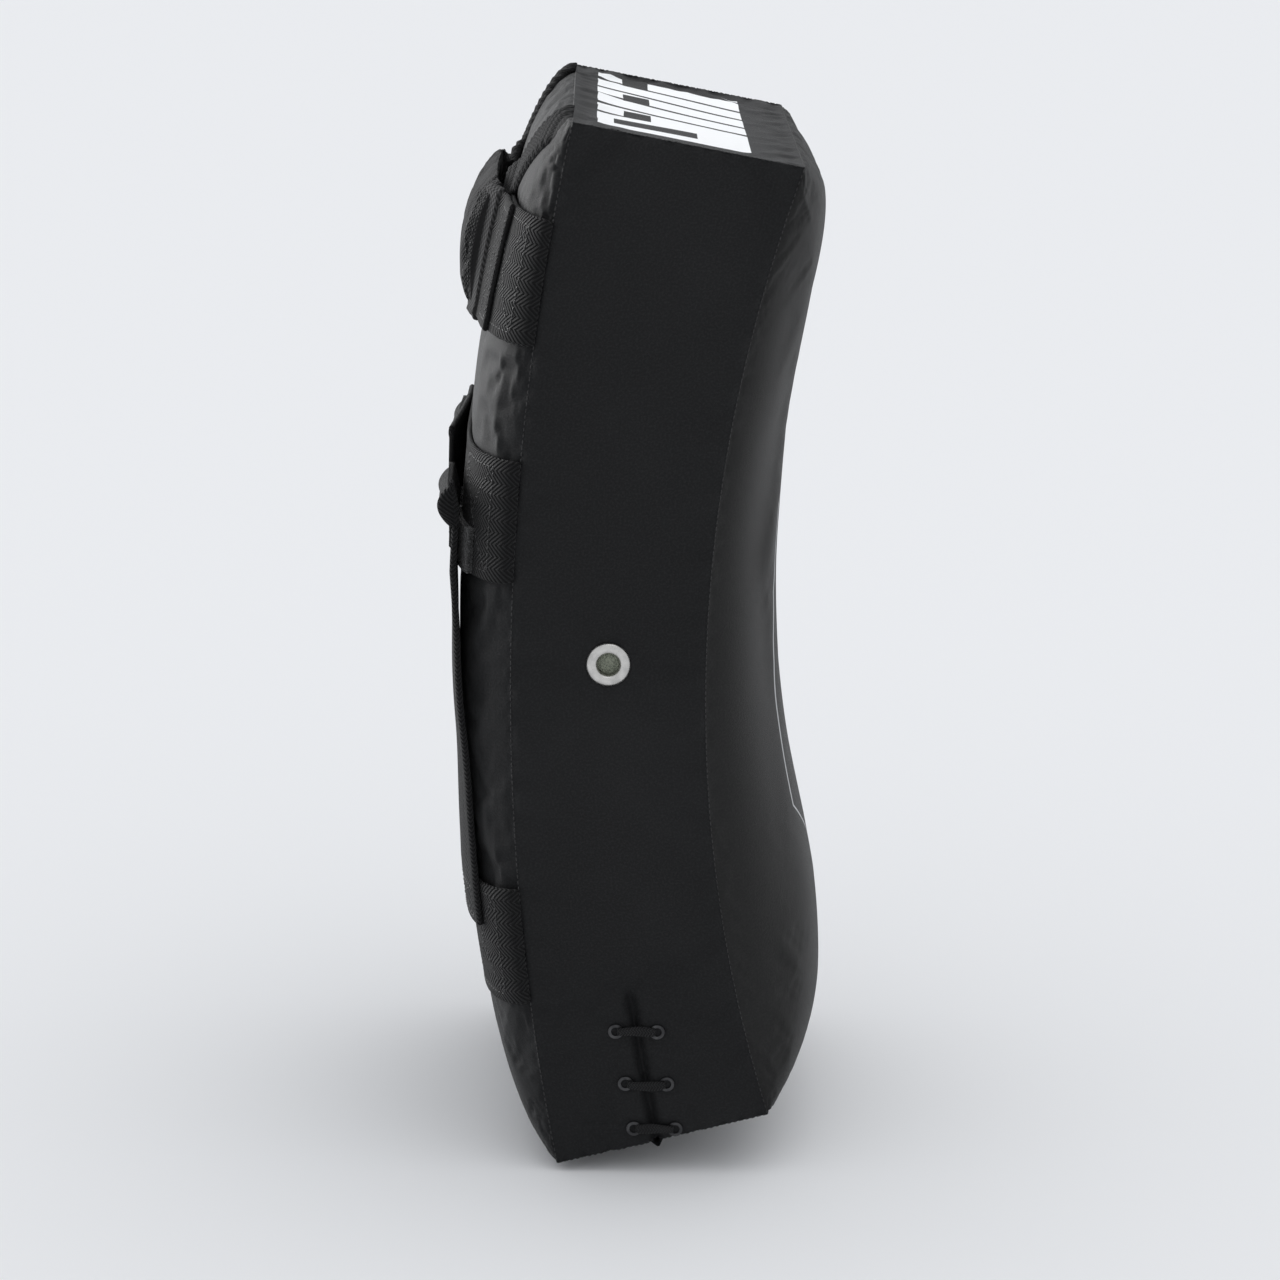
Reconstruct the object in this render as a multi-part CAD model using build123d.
from build123d import *
from math import asin, cos, degrees, radians, sin, sqrt, tan
import os

# A curved striking pad that a coach wears on the arm.  X is the pad's width, with the pad
# symmetric about X = 0.  The struck face looks along -Y and the straps are on the +Y side.
# Z runs up the pad.  The origin is the crown of the back, halfway up, where the arm lies.

os.makedirs("parts", exist_ok=True)

# ---- Overall pad
pad_width = 190.0
side_depth = 78.0          # side panel, from back seam to strike seam, halfway up
seam_half_height = 216.0   # back seam, from the middle to either end
back_seam_radius = 1095.0
strike_seam_radius = 624.0
top_slope = 10.0           # degrees that each end falls towards the struck face
bottom_slope = 15.0

# ---- Crowned faces: how far each stands out of its seams
back_rise = 21.0
back_shoulder = 17.0
back_shoulder_rise = 17.5
back_end_round = 15.0
strike_rise = 36.0
strike_shoulder = 34.0
strike_shoulder_rise = 29.0
strike_end_round = 26.0
crown_margin = 2.0         # the side outline stands this far outside a crown
sweep_angle = 26.0         # degrees a crown is turned either way, well past both ends

# ---- Cloth, foam and clearances
cloth = 1.4
foam_gap = 0.3
layer_gap = 0.2
lay_gap = 0.35             # between a strap and what it lies on

# ---- Vent eyelets
vent_bore_radius = 4.5
vent_wall = 0.6
vent_flange_radius = 9.0
vent_flange = 1.6
vent_washer_radius = 8.0
vent_washer = 0.8
vent_barrel = 4.6          # length of the straight bore
vent_pocket_gap = 0.6
hole_gap = 0.1             # round a metal barrel
washer_gap = 0.05

# ---- Laced foam opening, along both sides and across the bottom
slit_width = 3.0
slit_top_z = -140.0
slit_top_depth = 50.0      # from the middle of the back seam towards the struck face
slit_lean = 11.0           # degrees from upright, leaning to the struck face at the bottom
lace_half_span = 8.7
lace_width = 5.0
lace_thickness = 1.2
side_lace_heights = (-157.0, -180.0, -200.0)
bottom_lace_count = 5
bottom_lace_spacing = 30.0
lace_eyelet_bore = 1.9
lace_eyelet_wall = 0.4
lace_eyelet_flange_radius = 3.1
lace_eyelet_flange = 0.5
placket_half_width = 15.0
placket = 1.0
placket_depth_gap = 2.2    # from the inside of the cover to the placket
placket_above_slit = 6.0   # how far the placket runs on past the slit's upper end
pocket_above_slit = 8.0
pocket_margin = 1.0        # the foam's pocket is this much wider than the placket
slit_run_out = 10.0        # cutters reach this far past an edge
lace_end_gap = 0.2

# ---- Webbing bands sewn across the back
webbing = 50.0
webbing_thickness = 1.8
upper_band_z = 153.0
mid_band_z = 57.5
lower_band_z = -120.0

# ---- Padded hand loop on the upper band
loop_half_width = 52.0
loop_lift_top = 10.5       # stand-off of the loop's upper edge from the band
loop_lift_bottom = 3.0
loop_tab_length = 22.0     # sewn end beyond each end of the loop
sleeve_half_width = 44.0
sleeve_cloth = 1.0
sleeve_bulge_top = 5.0
sleeve_bulge_middle = 9.5
sleeve_bulge_bottom = 3.0
sleeve_inner_bulge = 0.6
sleeve_overhang = 1.5
fullest_share = 0.6        # where the sleeve bulges most, as a share of the webbing
pad_margin_share = 0.04    # the sleeve's filling stops this share short of the webbing's edge
pad_end_margin = 2.0       # and this far short of the sleeve's hem
bow_share = 0.04           # how far a raised strap's ends fall, as a share of its half length

# ---- Ribbed straps from the top corners to under the hand loop
rib_strap_width = 20.0
rib_strap_thickness = 4.5
rib_strap_top_x = 84.0
rib_strap_bottom_x = 26.5
rib_strap_tuck = 5.0       # length hidden under the hand loop

# ---- Arm strap that crosses the mid band and closes with hook and loop
arm_strap_root_x = 29.0
arm_strap_end_x = -42.0
arm_strap_tab = 15.0
arm_strap_lift_top = 7.5
arm_strap_lift_bottom = 4.0
hook_patch_thickness = 1.0
arm_patch_width = 14.0
arm_patch_height = 20.0
arm_patch_inset = 2.0

# ---- Two upright straps between the lower and the mid band
side_strap_width = 38.0
side_strap_x = 65.0
side_strap_thickness = 2.2
side_strap_sewn = 18.0     # overlap on the lower band
side_patch_height = 18.0
side_patch_low = 1.0       # above the lower edge of the mid band
pull_tab_length = 20.0
pull_tab_root = 3.0        # thickness of the folded end where it leaves the strap
pull_tab_middle = 7.0
pull_tab_tip = 3.0
pull_tab_gap = 0.4
pull_tab_fold_share = 0.35 # where along the tab its fold is thickest
pull_tab_lift = 2.5        # the tip stands this far off, for a finger
side_strap_hinge = 1.0     # above the lower band's upper edge

# ---- Worked-out places
half_width = pad_width / 2
back_seam_y = -back_rise
strike_seam_y = back_seam_y - side_depth
back_centre_y = back_seam_y - back_seam_radius
strike_centre_y = strike_seam_y - strike_seam_radius
end_corner_drop = back_seam_radius - sqrt(back_seam_radius**2 - seam_half_height**2)
end_corner_y = back_seam_y - end_corner_drop
vent_y = back_seam_y - side_depth / 2
slit_top_y = back_seam_y - slit_top_depth


def save(solids, name):
    """Write one node."""
    shape = solids if isinstance(solids, (Solid, Compound)) else Compound(children=list(solids))
    export_step(shape, f"parts/{name}.step")


# ================================================================ shapes of the pad itself
def end_line(side, inset, y):
    """Height of the top (+1) or bottom (-1) end at a depth y, moved inwards by inset."""
    slope = radians(top_slope if side > 0 else bottom_slope)
    rise = (y - end_corner_y) * tan(slope)
    return side * (seam_half_height + rise - inset / cos(slope))


def between_ends(inset):
    """Side-view region between the two end lines."""
    rear_y = back_seam_y + pad_width / 2
    front_y = strike_seam_y - pad_width / 2
    corners = [
        (rear_y, end_line(1, inset, rear_y)),
        (front_y, end_line(1, inset, front_y)),
        (front_y, end_line(-1, inset, front_y)),
        (rear_y, end_line(-1, inset, rear_y)),
    ]
    return make_face(Polyline(*corners, close=True))


def disc(centre_y, radius):
    return Pos(centre_y, 0) * Circle(radius)


def side_region(rear_inset, front_inset, end_inset):
    """Side-view region of the middle of the pad, between its two seams."""
    body = disc(back_centre_y, back_seam_radius - rear_inset) & between_ends(end_inset)
    return body - disc(strike_centre_y, strike_seam_radius + front_inset)


def thicken(region, half):
    """Extrude a side-view region to both sides of the pad's middle plane."""
    return extrude(Plane.YZ * region, amount=half, both=True)


def crown_section(rise, shoulder, shoulder_rise, inset):
    """Crowned outline over the seam chord, bulging to +Y; a negative inset grows it."""
    edge = half_width - inset
    inner = half_width - shoulder
    bend = shoulder - inset
    lift = shoulder_rise - inset
    halfway = radians(45)
    bend_x = inner + bend * cos(halfway)
    bend_y = lift * sin(halfway)
    outline = [
        Line((-edge, 0), (edge, 0)),
        ThreePointArc((edge, 0), (bend_x, bend_y), (inner, lift)),
        ThreePointArc((inner, lift), (0, rise - inset), (-inner, lift)),
        ThreePointArc((-inner, lift), (-bend_x, bend_y), (-edge, 0)),
    ]
    return make_face(outline)


def back_crown(inset):
    return Pos(0, back_seam_y) * crown_section(
        back_rise, back_shoulder, back_shoulder_rise, inset
    )


def strike_crown(inset):
    section = crown_section(strike_rise, strike_shoulder, strike_shoulder_rise, inset)
    return Pos(0, strike_seam_y) * mirror(section, about=Plane.XZ)


def turn(section, centre_y, low, high):
    """Turn a section about the X axis at centre_y, from the angle low to high."""
    axis = Axis((0, centre_y, 0), (1, 0, 0))
    return revolve(section, axis=axis, revolution_arc=high - low).rotate(axis, low)


def rounded_region(rear, front, end_inset, outer_side, radius):
    """Side-view region with its two outer end corners rounded."""
    region = (rear & between_ends(end_inset)) - front
    corners = region.vertices().sort_by(Axis.X)
    picked = corners[-2:] if outer_side > 0 else corners[:2]
    return fillet(picked, radius)


def back_block(inset):
    """The crowned slab behind the back seam."""
    rear = disc(back_centre_y, back_seam_radius + back_rise - inset + crown_margin)
    front = disc(back_centre_y, back_seam_radius)
    outline = rounded_region(rear, front, inset, 1, back_end_round - inset)
    slab = turn(back_crown(inset), back_centre_y, -sweep_angle / 2, sweep_angle / 2)
    return slab & thicken(outline, pad_width)


def strike_block(inset):
    """The crowned slab in front of the strike seam."""
    rear = disc(strike_centre_y, strike_seam_radius)
    front = disc(strike_centre_y, strike_seam_radius - strike_rise + inset - crown_margin)
    outline = rounded_region(rear, front, inset, -1, strike_end_round - inset)
    slab = turn(strike_crown(inset), strike_centre_y, -sweep_angle, sweep_angle)
    return slab & thicken(outline, pad_width)


def one_solid(shape):
    """The largest solid of a result."""
    return max(shape.solids(), key=lambda piece: piece.volume)


# ================================================================ laced opening
def slit_y(z):
    """Depth of the slit's middle line at a height on the side panels."""
    return slit_top_y - (slit_top_z - z) * tan(radians(slit_lean))


bottom_slope_rad = radians(bottom_slope)
bottom_slit_y = slit_y(-(seam_half_height - side_depth / 2 * tan(bottom_slope_rad)))
bottom_slit_height = end_line(-1, 0, bottom_slit_y)
bottom_plane = Plane(
    origin=(0, bottom_slit_y, bottom_slit_height),
    x_dir=(1, 0, 0),
    z_dir=(0, -sin(bottom_slope_rad), -cos(bottom_slope_rad)),
)


def side_plane(side):
    """Work plane on a side panel's outer face: local X is the pad's depth, Y its height."""
    return Plane(origin=(side * half_width, 0, 0), x_dir=(0, side, 0), z_dir=(side, 0, 0))


def side_slit_outline(side, half, above):
    """Band along the slit on a side panel, from above its top end to below the bottom."""
    low_z = -seam_half_height - slit_run_out
    top_z = slit_top_z + above
    corners = [
        (side * (slit_y(top_z) - half), top_z),
        (side * (slit_y(top_z) + half), top_z),
        (side * (slit_y(low_z) + half), low_z),
        (side * (slit_y(low_z) - half), low_z),
    ]
    return make_face(Polyline(*corners, close=True))


def side_slab(side, outline, low, high):
    """Solid on a side panel, between two depths under its outer face."""
    return extrude(side_plane(side) * Pos(0, 0, -low) * outline, amount=low - high)


def bottom_slab(half, length, low, high):
    """Solid along the slit of the bottom panel, between two depths under its face."""
    block = Pos(0, 0, -(low + high) / 2) * Box(length, 2 * half, high - low)
    return bottom_plane * block


def lace_pairs():
    """Each pair of lace eyelets: its two points on the cover and the cover's normal."""
    pairs = []
    lean = radians(slit_lean)
    for z in side_lace_heights:
        for side in (-1, 1):
            y = slit_y(z)
            rear = Vector(side * half_width, y + lace_half_span * cos(lean), z)
            front = Vector(side * half_width, y - lace_half_span * cos(lean), z)
            pairs.append((rear, front, Vector(side, 0, 0)))
    first = -bottom_lace_spacing * (bottom_lace_count - 1) / 2
    for number in range(bottom_lace_count):
        x = first + number * bottom_lace_spacing
        rear = bottom_plane.from_local_coords(Vector(x, -lace_half_span, 0))
        front = bottom_plane.from_local_coords(Vector(x, lace_half_span, 0))
        pairs.append((rear, front, bottom_plane.z_dir))
    return pairs


def face_plane(point, normal, along):
    return Plane(origin=point, x_dir=along, z_dir=normal)


def lace_holes(radius):
    """Cutters through the cover for the lace eyelets."""
    cutters = []
    for rear, front, normal in lace_pairs():
        for point in (rear, front):
            plane = face_plane(point, normal, front - rear)
            cutters.append(plane * Cylinder(radius, 4 * cloth))
    return cutters


def lace_eyelet(point, normal, along):
    """Rolled ring: a flange outside the cloth and a barrel through it."""
    plane = face_plane(point, normal, along)
    barrel_radius = lace_eyelet_bore + lace_eyelet_wall
    length = cloth + lace_eyelet_flange
    barrel = Pos(0, 0, lace_eyelet_flange / 2 - cloth / 2) * Cylinder(barrel_radius, length)
    flange = Pos(0, 0, lace_eyelet_flange / 2) * Cylinder(
        lace_eyelet_flange_radius, lace_eyelet_flange
    )
    bore = Cylinder(lace_eyelet_bore, 4 * length)
    return plane * (barrel + flange - bore)


def lace_bar(rear, front, normal):
    """One flat run of lace outside the cover, with its two ends down through the eyelets."""
    along = (front - rear).normalized()
    middle = (rear + front) * 0.5
    span = (front - rear).length
    plane = face_plane(middle, normal, along)
    outside = lace_eyelet_flange + lay_gap
    leg_side = lace_eyelet_bore
    leg_drop = cloth + lace_thickness
    run = Pos(0, 0, outside + lace_thickness / 2) * Box(
        span + leg_side, lace_width, lace_thickness
    )
    leg_height = outside + lace_thickness + leg_drop
    leg_z = (outside + lace_thickness - leg_drop) / 2
    legs = [
        Pos(way * span / 2, 0, leg_z) * Box(leg_side, leg_side, leg_height)
        for way in (-1, 1)
    ]
    tuck = Pos(0, 0, lace_thickness / 2 - leg_drop - lace_end_gap) * Box(
        leg_side * 2, leg_side, lace_thickness * 0.5
    )
    ends = [Pos(way * span / 2, 0, 0) * tuck for way in (-1, 1)]
    return one_solid(plane * (run + legs + ends))


# ================================================================ cover
vent_hole = vent_bore_radius + vent_wall + hole_gap
all_lace_holes = lace_holes(lace_eyelet_bore + lace_eyelet_wall)


def make_gusset(side):
    """Side panel, with its vent hole, its half of the foam opening and the lace holes."""
    plate = extrude(Plane.YZ * side_region(0, 0, 0), amount=cloth)
    offset = half_width - cloth if side > 0 else -half_width
    plate = Pos(offset, 0, 0) * plate
    vent = Pos(side * half_width, vent_y, 0) * (Rot(0, 90, 0) * Cylinder(vent_hole, 6 * cloth))
    slit = side_slab(side, side_slit_outline(side, slit_width / 2, 0), -cloth, 2 * cloth)
    return one_solid(plate - vent - slit - all_lace_holes)


def make_end_panel(side):
    """End panel between the side panels; the bottom one carries the foam opening."""
    band = side_region(0, 0, 0) - side_region(-1, -1, cloth)
    halves = band.faces().sort_by(Axis.Y)
    region = halves[-1] if side > 0 else halves[0]
    panel = thicken(region, half_width - cloth)
    if side < 0:
        slit = bottom_slab(slit_width / 2, pad_width + slit_run_out, -cloth, 3 * cloth)
        return list((panel - slit - all_lace_holes).solids())
    return one_solid(panel)


strike_panel = one_solid(strike_block(0) - strike_block(cloth))
back_panel = one_solid(back_block(0) - back_block(cloth))
left_gusset = make_gusset(-1)
right_gusset = make_gusset(1)
top_panel = make_end_panel(1)
bottom_panel = make_end_panel(-1)

# ================================================================ foam
inside = cloth + foam_gap
lace_room = placket_depth_gap + placket + foam_gap


def pocket_outline(side):
    return side_slit_outline(side, placket_half_width + pocket_margin, pocket_above_slit)


pockets = [
    side_slab(side, pocket_outline(side), 0, cloth + lace_room)
    for side in (-1, 1)
]
bottom_pocket_half = placket_half_width + pocket_margin
pockets.append(bottom_slab(bottom_pocket_half, pad_width, 0, cloth + lace_room))
vent_pocket_radius = vent_washer_radius + vent_pocket_gap
vent_pocket_depth = vent_barrel + vent_pocket_gap
for side in (-1, 1):
    pocket = Rot(0, 90, 0) * Cylinder(vent_pocket_radius, 2 * vent_pocket_depth)
    pockets.append(Pos(side * half_width, vent_y, 0) * pocket)

core_region = side_region(layer_gap, layer_gap, inside)
core_foam = one_solid(thicken(core_region, half_width - inside) - pockets)
strike_foam = one_solid(strike_block(inside))
back_foam = one_solid(back_block(inside))

# ================================================================ placket behind the slit
cover_inside = cloth + placket_depth_gap
side_plackets = [
    side_slab(
        side,
        side_slit_outline(side, placket_half_width, placket_above_slit),
        cover_inside,
        cover_inside + placket,
    )
    for side in (-1, 1)
]
room_inside = thicken(side_region(0, 0, cover_inside), half_width)
bottom_placket = bottom_slab(
    placket_half_width, pad_width - 2 * cover_inside, cover_inside, cover_inside + placket
)
opening_placket = one_solid(
    (side_plackets[0] + side_plackets[1] & room_inside) + bottom_placket
)

# ================================================================ vent eyelets
def make_vent(side):
    """Rolled eyelet: a flange on the cover and a straight barrel through it."""
    barrel_radius = vent_bore_radius + vent_wall
    ring = Circle(barrel_radius) - Circle(vent_bore_radius)
    barrel = extrude(ring, amount=vent_barrel)
    flange = extrude(Circle(vent_flange_radius) - Circle(vent_bore_radius), amount=vent_flange)
    rim = flange.edges().filter_by(GeomType.CIRCLE).group_by(Axis.Z)[-1].sort_by(SortBy.RADIUS)[-1]
    flange = fillet(rim, vent_flange * 0.8)
    body = Pos(0, 0, vent_flange - vent_barrel) * barrel + flange
    return side_plane(side) * Pos(side * vent_y, 0, 0) * body


def make_vent_washer(side):
    ring = Circle(vent_washer_radius) - Circle(vent_hole)
    depth = cloth + vent_washer + washer_gap
    washer = Pos(0, 0, -depth) * extrude(ring, amount=vent_washer)
    return side_plane(side) * Pos(side * vent_y, 0, 0) * washer


vents = [make_vent(side) for side in (-1, 1)]
vent_washers = [make_vent_washer(side) for side in (-1, 1)]
lace_rings = []
lace_bars = []
for rear, front, normal in lace_pairs():
    lace_rings.append(lace_eyelet(rear, normal, front - rear))
    lace_rings.append(lace_eyelet(front, normal, front - rear))
    lace_bars.append(lace_bar(rear, front, normal))

# ================================================================ bands on the back
def angle_at(z):
    """Angle about the back's centre of a height on the back."""
    return degrees(asin(z / back_seam_radius))


def back_strip(low_gap, high_gap):
    """Section between two distances outside the back's cloth."""
    return back_crown(-high_gap) - back_crown(-low_gap)


def across(section, x_low, x_high):
    """The part of a section between two places across the pad."""
    middle = (x_low + x_high) / 2
    window = Pos(middle, 0) * Rectangle(x_high - x_low, 6 * back_rise)
    return section & window


def band(z, x_low, x_high, low_gap, high_gap, height):
    """Flat strap piece that follows the back, one webbing wide along Z."""
    section = across(back_strip(low_gap, high_gap), x_low, x_high)
    low_angle = angle_at(z - height / 2)
    high_angle = angle_at(z + height / 2)
    return one_solid(turn(section, back_centre_y, low_angle, high_angle))


def raised_band(z, half, shares, low_gaps, high_gaps):
    """Bowed strap piece; its distance from the back changes at each share of the webbing."""
    axis = Axis((0, back_centre_y, 0), (1, 0, 0))
    flat_drop = half * bow_share
    sections = []
    for share, low_y, high_y in zip(shares, low_gaps, high_gaps):
        outline = [
            ThreePointArc((-half, low_y - flat_drop), (0, low_y), (half, low_y - flat_drop)),
            Line((half, low_y - flat_drop), (half, high_y - flat_drop)),
            ThreePointArc((half, high_y - flat_drop), (0, high_y), (-half, high_y - flat_drop)),
            Line((-half, high_y - flat_drop), (-half, low_y - flat_drop)),
        ]
        place = z + (share - 0.5) * webbing
        sections.append(make_face(outline).rotate(axis, angle_at(place)))
    return loft(sections)


band_low = lay_gap
band_high = lay_gap + webbing_thickness
seam_reach = half_width + band_high
upper_band = band(upper_band_z, -seam_reach, seam_reach, band_low, band_high, webbing)
mid_band = band(mid_band_z, -seam_reach, seam_reach, band_low, band_high, webbing)
lower_band = band(lower_band_z, -seam_reach, seam_reach, band_low, band_high, webbing)

def anchor(z, x_low, x_high, layer):
    """Short sewn end of a strap, lying on a band."""
    low = band_high + layer * (webbing_thickness + lay_gap) + lay_gap
    return band(z, x_low, x_high, low, low + webbing_thickness, webbing)


# ---- Hand loop
on_band = band_high + lay_gap
loop_tab_inner = loop_half_width + lay_gap
loop_tab_outer = loop_tab_inner + loop_tab_length
loop_anchors = [
    anchor(upper_band_z, -loop_tab_outer, -loop_tab_inner, 0),
    anchor(upper_band_z, loop_tab_inner, loop_tab_outer, 0),
]
loop_low = (on_band + loop_lift_bottom, on_band + loop_lift_top)


def loop_gap(share, extra):
    """Distance from the back to the loop's inner face, plus extra, at a share of its width."""
    return loop_low[0] + (loop_low[1] - loop_low[0]) * share + extra


def loop_layer(half, shares, inner, outer):
    """Layer on the hand loop: its inner and outer faces at each share of the webbing."""
    lows = [loop_gap(share, inner) for share in shares]
    highs = [loop_gap(share, extra) for share, extra in zip(shares, outer)]
    return raised_band(upper_band_z, half, shares, lows, highs)


bulges = (sleeve_bulge_bottom, sleeve_bulge_middle, sleeve_bulge_top)
hand_loop = loop_layer(loop_half_width, (0, fullest_share, 1), 0, [webbing_thickness] * 3)
over = (sleeve_overhang + sleeve_cloth) / webbing
sleeve_outer = loop_layer(
    sleeve_half_width,
    (-over, fullest_share, 1 + over),
    -sleeve_inner_bulge - sleeve_cloth,
    [webbing_thickness + bulge for bulge in bulges],
)
room_over = sleeve_overhang / webbing
sleeve_room = loop_layer(
    sleeve_half_width + 1,
    (-room_over, fullest_share, 1 + room_over),
    -sleeve_inner_bulge,
    [webbing_thickness + bulge - sleeve_cloth for bulge in bulges],
)
hand_sleeve = one_solid(sleeve_outer - sleeve_room)
hand_pad = loop_layer(
    sleeve_half_width - pad_end_margin,
    (pad_margin_share, fullest_share, 1 - pad_margin_share),
    webbing_thickness + lay_gap,
    [webbing_thickness + bulge - sleeve_cloth - foam_gap for bulge in bulges],
)


# ---- Ribbed corner straps
def rib_strap(side):
    """Strap from a top corner, running down and inwards to end under the hand loop."""
    corner_z = seam_half_height + rib_strap_thickness + on_band
    end_z = upper_band_z + webbing / 2 - rib_strap_tuck
    start = Vector(side * rib_strap_top_x, corner_z)
    end = Vector(side * rib_strap_bottom_x, end_z)
    run = (end - start).normalized()
    across_run = Vector(-run.Y, run.X) * (rib_strap_width / 2)
    corners = [start + across_run, end + across_run, end - across_run, start - across_run]
    outline = make_face(Polyline(*[(p.X, p.Y) for p in corners], close=True))
    cutter = extrude(Plane.XZ * outline, amount=back_rise * 3, both=True)
    window = Pos(side * half_width / 2, 0, corner_z) * Box(half_width, pad_width, 4 * webbing)
    shell = back_block(-on_band - rib_strap_thickness) - back_block(-on_band)
    return one_solid(shell & cutter & window)


# ---- Arm strap
arm_low = (on_band + arm_strap_lift_bottom, on_band + arm_strap_lift_top)
arm_anchor_inner = arm_strap_root_x + lay_gap
arm_anchor_outer = arm_strap_root_x + arm_strap_tab
arm_strap_anchor = anchor(mid_band_z, arm_anchor_inner, arm_anchor_outer, 0)


def tapered_strap(z, x_root, x_end, root_gap, low_gap, high_gap, thickness, height):
    """Strap that leaves the back at x_root and stands off by two gaps at its free end."""
    axis = Axis((0, back_centre_y, 0), (1, 0, 0))
    faces = []
    for place, gap in ((z - height / 2, low_gap), (z + height / 2, high_gap)):
        corners = [
            (x_root, root_gap),
            (x_root, root_gap + thickness),
            (x_end, gap + thickness),
            (x_end, gap),
        ]
        faces.append(make_face(Polyline(*corners, close=True)).rotate(axis, angle_at(place)))
    return loft(faces, ruled=True)


def back_face_y(x, gap):
    """Depth of the back's flat part at x, plus a gap."""
    flat = half_width - back_shoulder
    fall = (back_rise - back_shoulder_rise) * (x / flat) ** 2
    return gap - fall


def arm_layer(offset, thickness):
    """Layer of the arm strap, offset from its inner face."""
    return tapered_strap(
        mid_band_z,
        arm_strap_root_x,
        arm_strap_end_x,
        back_face_y(arm_strap_root_x, on_band) + offset,
        arm_low[0] + offset,
        arm_low[1] + offset,
        thickness,
        webbing,
    )


arm_strap = arm_layer(0, webbing_thickness)
arm_patch_x = arm_strap_end_x + arm_patch_inset + arm_patch_width / 2
arm_patch_z = mid_band_z - webbing / 2 + arm_patch_inset + arm_patch_height / 2
patch_box = Box(arm_patch_width, half_width, arm_patch_height)
patch_window = Pos(arm_patch_x, 0, arm_patch_z) * patch_box
patch_layer = hook_patch_thickness + lay_gap / 2
arm_hook_patch = one_solid(arm_layer(-patch_layer, hook_patch_thickness) & patch_window)
arm_loop_patch = band(
    arm_patch_z,
    arm_patch_x - arm_patch_width / 2,
    arm_patch_x + arm_patch_width / 2,
    band_high + lay_gap / 2,
    band_high + patch_layer,
    arm_patch_height,
)

# ---- Upright side straps
patch_base = band_high + lay_gap / 2
strap_base = patch_base + 2 * patch_layer
anchor_base = band_high + lay_gap
patch_low_z = mid_band_z - webbing / 2 + side_patch_low
patch_top_z = patch_low_z + side_patch_height
lower_top_z = lower_band_z + webbing / 2
strap_hinge_z = lower_top_z + side_strap_hinge


def strap_section(side, low_gap, high_gap):
    """Section of an upright strap between two distances from the back."""
    middle = side * side_strap_x
    return across(
        back_strip(low_gap, high_gap), middle - side_strap_width / 2, middle + side_strap_width / 2
    )


def strap_piece(side, z_low, z_high, low_gap, high_gap):
    """Piece of an upright strap that follows the back between two heights."""
    section = strap_section(side, low_gap, high_gap)
    return one_solid(turn(section, back_centre_y, angle_at(z_low), angle_at(z_high)))


def strap_loft(side, stations):
    """Piece of an upright strap lofted through (height, low gap, high gap) stations."""
    axis = Axis((0, back_centre_y, 0), (1, 0, 0))
    faces = []
    for z, low_gap, high_gap in stations:
        section = strap_section(side, low_gap, high_gap)
        faces.append(section.face().rotate(axis, angle_at(z)))
    return loft(faces, ruled=True)


def side_strap(side):
    """Upright strap, pulled straight from the lower band to its patch, then flat on it."""
    top_gap = strap_base + side_strap_thickness
    straight = strap_loft(side, [
        (strap_hinge_z, anchor_base, anchor_base + side_strap_thickness),
        (patch_low_z, strap_base, top_gap),
    ])
    flat = strap_piece(side, patch_low_z, patch_top_z, strap_base, top_gap)
    return one_solid(straight + flat)


def side_anchor(side):
    return strap_piece(
        side,
        lower_top_z - side_strap_sewn,
        lower_top_z,
        anchor_base,
        anchor_base + side_strap_thickness,
    )


def side_patch(side, layer):
    low = patch_base + layer * patch_layer
    return strap_piece(side, patch_low_z, patch_top_z, low, low + hook_patch_thickness)


def pull_tab(side):
    """Folded end of an upright strap, thickest where its fold bulges."""
    root_z = patch_top_z + pull_tab_gap
    fold_z = root_z + pull_tab_length * pull_tab_fold_share
    tip_low = strap_base + pull_tab_lift
    return strap_loft(side, [
        (root_z, strap_base, strap_base + pull_tab_root),
        (fold_z, strap_base, strap_base + pull_tab_middle),
        (root_z + pull_tab_length, tip_low, tip_low + pull_tab_tip),
    ])


nodes = {
    "strike_panel": strike_panel,
    "back_panel": back_panel,
    "left_gusset": left_gusset,
    "right_gusset": right_gusset,
    "top_panel": top_panel,
    "bottom_panels": bottom_panel,
    "strike_foam": strike_foam,
    "core_foam": core_foam,
    "back_foam": back_foam,
    "opening_placket": opening_placket,
    "vent_eyelets": vents,
    "vent_washers": vent_washers,
    "lace_eyelets": lace_rings,
    "lace": lace_bars,
    "upper_band": upper_band,
    "mid_band": mid_band,
    "lower_band": lower_band,
    "loop_anchors": loop_anchors,
    "hand_loop": hand_loop,
    "hand_sleeve": hand_sleeve,
    "hand_pad": hand_pad,
    "left_rib_strap": rib_strap(-1),
    "right_rib_strap": rib_strap(1),
    "arm_strap_anchor": arm_strap_anchor,
    "arm_strap": arm_strap,
    "left_side_strap": side_strap(-1),
    "right_side_strap": side_strap(1),
    "side_anchors": [side_anchor(-1), side_anchor(1)],
    "left_pull_tab": pull_tab(-1),
    "right_pull_tab": pull_tab(1),
    "band_loop_patches": [side_patch(-1, 0), side_patch(1, 0), arm_loop_patch],
    "arm_hook_patch": arm_hook_patch,
    "left_hook_patch": side_patch(-1, 1),
    "right_hook_patch": side_patch(1, 1),
}
for name, shape in nodes.items():
    save(shape, name)
